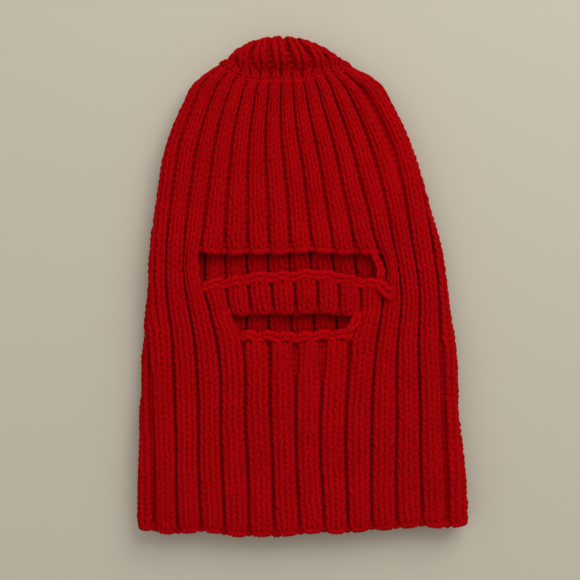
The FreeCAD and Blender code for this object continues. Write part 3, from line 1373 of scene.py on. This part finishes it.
@dataclass
class Body:
    """The tube's rib sections, from the collar to the dome.

    Attributes:
        tube: The tube that they lie on.
        rib: How the yarn lies in them.
        finishes: The materials.
    """

    tube: Tube
    rib: Rib
    finishes: Finishes

    def panels(self) -> list[Panel]:
        """List every section with its ribs and courses.

        Returns:
            The sections, in the order in which they are knitted.
        """
        tube = self.tube
        sections = (
            ("collar", tube.hem + 3 * MM, tube.collar_end, 16, NECK_MIDDLE),
            ("neck", tube.collar_end, tube.neck_end, 15, NECK_MIDDLE),
            ("brow", tube.brow_start, tube.brow_end, 13, HEAD_MIDDLE),
            ("dome", tube.brow_end, tube.ridge, 14, HEAD_MIDDLE),
        )
        panels = []
        for name, low, high, count, middle in sections:
            places, gap = band(low, high, count)
            first, turn, last = -LEFT_RIBS, middle + RIGHT_RIBS, middle + SIDE_AND_BACK_RIBS - LEFT_RIBS
            panels.append(Panel(f"{name}_front", middle, ((first, turn, places),), gap))
            panels.append(Panel(f"{name}_back", middle, ((turn, last, places),), gap))
        places, gap = band(tube.neck_end, tube.brow_start, 15)
        first, turn, last = -LEFT_RIBS, HEAD_MIDDLE + RIGHT_RIBS, HEAD_RIBS - LEFT_RIBS
        beside_mouth, beside_bridge, above_mouth = places[:5], places[5:10], places[5:]
        left = ((first, 0, above_mouth), (first, 1, beside_mouth))
        right = ((HEAD_MIDDLE, turn, above_mouth), (HEAD_MIDDLE - 1, turn, beside_mouth))
        panels.append(Panel("face_back", HEAD_MIDDLE, ((turn, last, places),), gap))
        panels.append(Panel("cheek_left", HEAD_MIDDLE, left, gap))
        panels.append(Panel("cheek_right", HEAD_MIDDLE, right, gap))
        panels.append(Panel("nose_bridge", HEAD_MIDDLE, ((0, HEAD_MIDDLE, beside_bridge),), gap))
        return panels

    def eases(self) -> dict[str, Ease]:
        """Tell how the folds slacken in each section.

        Returns:
            The ease of each section's node, where it has one.
        """
        tube = self.tube
        pull_start = tube.neck_end - 24 * MM
        side_pull_end = tube.neck_end - 20 * MM
        neck = Ease(
            (
                Pull(3, pull_start, tube.neck_end - 6 * MM, 1.7),
                Pull(4, pull_start, tube.neck_end, 1.7),
                Pull(9, tube.hem, tube.neck_end, 1.1),
                Pull(-LEFT_RIBS, tube.hem, side_pull_end, 0.8),
                Pull(NECK_RIBS - LEFT_RIBS, tube.hem, side_pull_end, 0.8),
            ),
            (Hold(tube.hem),),
        )
        head = Ease(
            (Pull(10, tube.brow_end, tube.ridge + 20 * MM, 1.2),),
            (Hold(tube.ridge),),
            flatter=(tube.brow_start, tube.brow_start + 26 * MM, 0.32),
        )
        mouth = Hold(tube.mouth_low - 5 * MM, 1.0, NECK_MIDDLE - 1.0)
        eyes = Hold(tube.brow_start, 0.0, float(HEAD_MIDDLE))
        return {
            "collar_front": neck,
            "collar_back": neck,
            "neck_front": replace(neck, edges=(*neck.edges, mouth)),
            "neck_back": neck,
            "brow_front": replace(head, edges=(*head.edges, eyes)),
            "brow_back": head,
            "dome_front": head,
            "dome_back": head,
            "nose_bridge": Ease((), (Hold(tube.bridge_low), Hold(tube.bridge_high)), hold=0.15),
        }

    def build(self) -> None:
        """Knit every section."""
        eases = self.eases()
        for seed, panel in enumerate(self.panels()):
            slack = eases.get(panel.node, Ease())
            knitter = Knitter(self.rib, self.tube.layer(panel.middle), seed, slack)
            mesh = YarnMesh()
            for first, last, places in panel.runs:
                mesh.add(*knitter.courses(first, last, places, panel.gap))
            self.finishes.dress(mesh, panel.node, Slot.RIB)


@dataclass(frozen=True)
class ChainedEdge:
    """One edge that is worked as a chain.

    Attributes:
        node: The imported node.
        span: Rib coordinates of both ends.
        heights: Heights of both ends.
        out: How far out of the fabric the chain lies.
        sag: How much lower the chain's middle lies than its ends.
        kind: The kind of chain.
    """

    node: str
    span: tuple[float, float]
    heights: tuple[float, float]
    out: float
    sag: float
    kind: Chain


@dataclass
class Edges:
    """The cast-on hem, the slits' edges and corners, and the sewn-down end of the eye slit's chain.

    Attributes:
        tube: The tube that they lie on.
        rib: How the yarn lies in the ribs.
        finishes: The materials.
    """

    tube: Tube
    rib: Rib
    finishes: Finishes

    def build(self) -> None:
        """Work every edge."""
        tube = self.tube
        self._hem()
        self._rope("mouth_upper_edge", (0.6, 7.4), (tube.mouth_high + tube.bridge_low) / 2)
        self._rope("eye_upper_edge", (-0.1, 8.1), (tube.eye_high + tube.brow_start) / 2)
        for seed, edge in enumerate(self._chained()):
            self._chain(edge, seed)

    def _chained(self) -> list[ChainedEdge]:
        """List the edges that are worked as chains.

        Returns:
            The edges, in the order in which they are worked.
        """
        tube = self.tube
        plain = Chain()
        small = Chain(4.2 * MM, 1.9 * MM, 3.7 * MM, 1.4 * MM)
        knot = Chain(4.4 * MM, 2.9 * MM, 4.9 * MM, 1.3 * MM)
        under_mouth = tube.mouth_low - 2.2 * MM
        under_eyes = tube.eye_low - 3.4 * MM
        left_mouth = (tube.mouth_low - 2 * MM, tube.mouth_high + 2 * MM)
        right_mouth = (tube.mouth_low - 3 * MM, tube.mouth_high + 1 * MM)
        left_eye = (tube.eye_low - 3 * MM, tube.eye_high + 2 * MM)
        right_eye = (tube.eye_high + 2 * MM, tube.eye_low - 3 * MM)
        tail = (tube.eye_low - 3 * MM, tube.bridge_low + 9 * MM)
        rows = (
            ("mouth_lower_edge", (1.0, 7.0), (under_mouth, under_mouth), 1.9, 2.6, plain),
            ("eye_lower_edge", (0.05, 7.95), (under_eyes, under_eyes), 1.9, -1.2, plain),
            ("mouth_corner_left", (0.75, 0.8), left_mouth, 1.8, 0, small),
            ("mouth_corner_right", (6.72, 6.9), right_mouth, 1.8, 0, plain),
            ("eye_corner_left", (-0.2, -0.2), left_eye, 1.0, 0, small),
            ("eye_corner_right", (7.68, 7.78), right_eye, 3.0, 0, small),
            ("eye_edge_tail", (7.75, 8.5), tail, 4.6, 0, knot),
        )
        return [
            ChainedEdge(node, span, heights, out * MM, sag * MM, kind)
            for node, span, heights, out, sag, kind in rows
        ]

    def _hem(self) -> None:
        """Lay the cast-on rope round the neck opening, with the small tuft where it was joined."""
        steps_per_rib = 24
        ribs = np.linspace(-LEFT_RIBS, NECK_RIBS - LEFT_RIBS, NECK_RIBS * steps_per_rib + 1)
        bent, out = self.rib.bend(ribs)
        surface = self.tube.layer(NECK_MIDDLE)
        height = self.tube.hem + 2.4 * MM - 0.4 * out
        line = Line.on(surface, 0.3 * ribs + 0.7 * bent, height, 0.65 * out)
        mesh = YarnMesh()
        Rope(yarn=3.5 * MM, swing=1.2 * MM, lay=4.9 * MM).work(line, mesh)
        tuft = np.linspace(0, 1, 9)
        for lean in (-1.0, 0.4):
            ribs = 2.05 + 0.10 * lean * tuft + 0.05 * tuft**2
            curl = self.tube.hem + 3 * MM - 4.5 * MM * tuft
            knot = Line.on(surface, ribs, curl, 2.6 * MM * (1 - tuft**2))
            mesh.add(knot.points[None], 1.3 * MM)
        self.finishes.dress(mesh, "hem_edge", Slot.EDGE)

    def _rope(self, node: str, span: tuple[float, float], height: float) -> None:
        """Lay a cast-on rope above a slit.

        Args:
            node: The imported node.
            span: Rib coordinates of both ends.
            height: Where the rope lies along the tube.
        """
        ribs = np.linspace(*span, 160)
        bent, out = self.rib.bend(ribs)
        surface = self.tube.layer(HEAD_MIDDLE)
        line = Line.on(surface, 0.5 * (bent + ribs), height - 0.16 * out, 0.5 * out)
        mesh = YarnMesh()
        Rope().work(line, mesh)
        self.finishes.dress(mesh, node, Slot.EDGE)

    def _chain(self, edge: ChainedEdge, seed: int) -> None:
        """Work a chain between two places on the face.

        Args:
            edge: The edge.
            seed: Seed for the loops' unevenness.
        """
        steps = 120
        first, last = edge.span
        ribs = np.linspace(first, last, steps)
        share = np.linspace(-1, 1, steps)
        hang = edge.sag * (share**2 - 0.45)
        _, swell = self.rib.bend(ribs)
        crosses_ribs = abs(last - first) > 2
        follow = 0.3 * swell * crosses_ribs
        height = np.linspace(*edge.heights, steps) + hang + 0.8 * follow
        line = Line.on(self.tube.layer(HEAD_MIDDLE), ribs, height, edge.out + follow)
        mesh = YarnMesh()
        edge.kind.work(line, mesh, seed)
        self.finishes.dress(mesh, edge.node, Slot.EDGE)


@dataclass
class Crown:
    """The crown above the ridge: one-by-one rib that closes over the top and gathers behind it.

    Attributes:
        tube: The tube below the crown.
        finishes: The materials.
        places: Stations from the ridge, at 0, to the gather, at 1.
        middles: Sideways place of the ring of fabric's middle at each station, in millimetres.
        halves: Half the ring's width.
        deeps: Half the ring's depth.
        rises: How far the ring's middle lies above the ridge.
        turns: How far the ring is tipped back, in degrees.
        levels: How high the ring's middle lies above the floor.
        ribs: Ribs round the crown, of two stitches each.
        front_ribs: How many of them are on the face side.
        start: Place at which the one-by-one rib starts.
    """

    tube: Tube
    finishes: Finishes
    places: tuple[float, ...] = (0.0, 0.15, 0.35, 0.55, 0.72, 0.88, 1.0)
    middles: tuple[float, ...] = (-12.3, -12.6, -13.3, -15.5, -17.0, -17.0, -17.0)
    halves: tuple[float, ...] = (62.5, 53.5, 43.5, 34.5, 25.0, 14.5, 6.0)
    deeps: tuple[float, ...] = (8.4, 8.2, 8.0, 8.0, 7.6, 6.8, 5.5)
    rises: tuple[float, ...] = (0.0, 5.0, 11.5, 18.5, 23.5, 25.0, 24.0)
    turns: tuple[float, ...] = (0.0, 5.0, 14.0, 30.0, 50.0, 68.0, 80.0)
    levels: tuple[float, ...] = (12.5, 12.3, 12.2, 11.4, 9.8, 7.5, 6.2)
    ribs: int = 16
    front_ribs: int = 9
    start: float = 0.24

    def surface(self, ribs: np.ndarray, place: np.ndarray) -> tuple[np.ndarray, np.ndarray]:
        """Find points of the crown's fabric.

        Args:
            ribs: Rib coordinate, the same as the tube's.
            place: 0 at the ridge and 1 at the gather.

        Returns:
            The points and the outward directions.
        """
        nudge = 0.004
        points = self._point(ribs, place)
        across = self._point(ribs + nudge * 5, place) - self._point(ribs - nudge * 5, place)
        upward = self._point(ribs, place + nudge) - self._point(ribs, place - nudge)
        return points, unit(np.cross(across, upward))

    def _point(self, ribs: np.ndarray, place: np.ndarray) -> np.ndarray:
        """Find points on the ring of fabric at each place.

        Args:
            ribs: Rib coordinate, the same as the tube's.
            place: 0 at the ridge and 1 at the gather.

        Returns:
            The points.
        """

        def read(values: tuple[float, ...]) -> np.ndarray:
            """Read a curve through the stations.

            Args:
                values: The curve's value at each station.

            Returns:
                Its value at each place.
            """
            return smooth_line(self.places, values, place)

        ridge = np.full_like(ribs, self.tube.ridge)
        base, _ = self.tube.flat(ribs, ridge, HEAD_MIDDLE)
        left, right = -self.tube.ribs_left[-1], HEAD_MIDDLE + self.tube.ribs_right[-1]
        cycle = np.mod(ribs - left, HEAD_RIBS)
        front = right - left
        angle = np.where(
            cycle < front,
            math.pi * (1 - cycle / front),
            -math.pi * (cycle - front) / (HEAD_RIBS - front),
        )
        blend = smooth_step(0.0, 0.5, place)
        middle, half = self.middles[0] * MM, self.halves[0] * MM
        across = (1 - blend) * (base[..., 0] - middle) / half + blend * np.cos(angle)
        base_deep = (base[..., 2] - self.tube.middle) / (self.deeps[0] * MM)
        deep = (1 - blend) * base_deep + blend * np.sin(angle)
        turn = np.radians(read(self.turns))
        depth = read(self.deeps) * MM * deep
        x = read(self.middles) * MM + read(self.halves) * MM * across
        lift = (1 - blend) * (base[..., 1] - self.tube.ridge)
        y = self.tube.ridge + read(self.rises) * MM + depth * np.sin(turn) + lift
        z = read(self.levels) * MM + depth * np.cos(turn)
        facing = np.clip(deep, 0, 1)
        valley = 5.4 * MM * bell(place, 0.19, 0.15)
        swell = 1.6 * MM * bell(place, 0.55, 0.2)
        sink = (valley - swell) * facing * (1 - across**2)
        return np.stack([x, y, z - sink], axis=-1)

    def build(self) -> None:
        """Knit the crown and draw its last stitches together."""
        low = Rib(fold=1.5 * MM, overhang=0.03, stitches=2, share=0.40, thickest=3.6 * MM)
        high = Rib(fold=2.6 * MM, overhang=0.05, stitches=2, share=0.40, thickest=3.7 * MM)
        top = Ease((), (Hold(0.18), Hold(0.9)), 0.2, 0.78)
        first_courses, first_gap = band(0.0, self.start, 3)
        later_courses, later_gap = band(self.start, 1.0, 8)
        turn = HEAD_MIDDLE + RIGHT_RIBS
        halves = (
            ("crown_front", (-LEFT_RIBS, turn), (0, self.front_ribs), 61),
            ("crown_back", (turn, HEAD_RIBS - LEFT_RIBS), (self.front_ribs, self.ribs), 62),
        )
        for node, first_ends, later_ends, seed in halves:
            mesh = YarnMesh()
            knitter = Knitter(low, self.surface, seed)
            mesh.add(*knitter.courses(*first_ends, first_courses, first_gap))
            knitter = Knitter(high, self._narrowed, seed + 2, top)
            mesh.add(*knitter.courses(*later_ends, later_courses, later_gap))
            self.finishes.dress(mesh, node, Slot.CROWN)
        self._gather()

    def _narrowed(self, ribs: np.ndarray, place: np.ndarray) -> tuple[np.ndarray, np.ndarray]:
        """Find points of the crown after the decreases, where it has fewer ribs.

        Args:
            ribs: Rib coordinate among the crown's own ribs.
            place: 0 at the ridge and 1 at the gather.

        Returns:
            The points and the outward directions.
        """
        wide = HEAD_RIBS / self.ribs
        return self.surface((ribs + 0.5) * wide - LEFT_RIBS, place)

    def _gather(self) -> None:
        """Wind the drawn-up yarn end through the last stitches."""
        turns, steps, yarn = 3.2, 90, 3.0 * MM
        turn = np.linspace(0, turns, steps)
        points, _ = self.surface(turn * HEAD_RIBS, 0.97 + 0.01 * turn)
        centre = points.mean(axis=0)
        shrink = np.maximum(1 - 0.27 * turn, 0.12)[:, None]
        mesh = YarnMesh()
        mesh.add((centre + (points - centre) * shrink)[None], yarn / 2)
        self.finishes.dress(mesh, "crown_gather", Slot.CROWN)


def main() -> None:
    """Build the object and the studio, in order."""
    logging.basicConfig(level=logging.INFO, format="%(message)s")
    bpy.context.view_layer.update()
    Studio().build()
    rib = Rib()
    tube = Tube(rib)
    # The three wools are copies of one red yarn. The edges' copy is painted lighter, as a painted highlight
    # on the raised edges. The crown's copy is painted darker, as painted shade over the crown.
    finishes = Finishes(
        Wool("wool_rib", (0.375, 0.0001, 0.0019)).material(),
        Wool("wool_edge", (0.405, 0.0001, 0.0022)).material(),
        Wool("wool_crown", (0.355, 0.0001, 0.0018)).material(),
    )
    Body(tube, rib, finishes).build()
    Edges(tube, rib, finishes).build()
    Crown(tube, finishes).build()


if __name__ == "__main__":
    main()
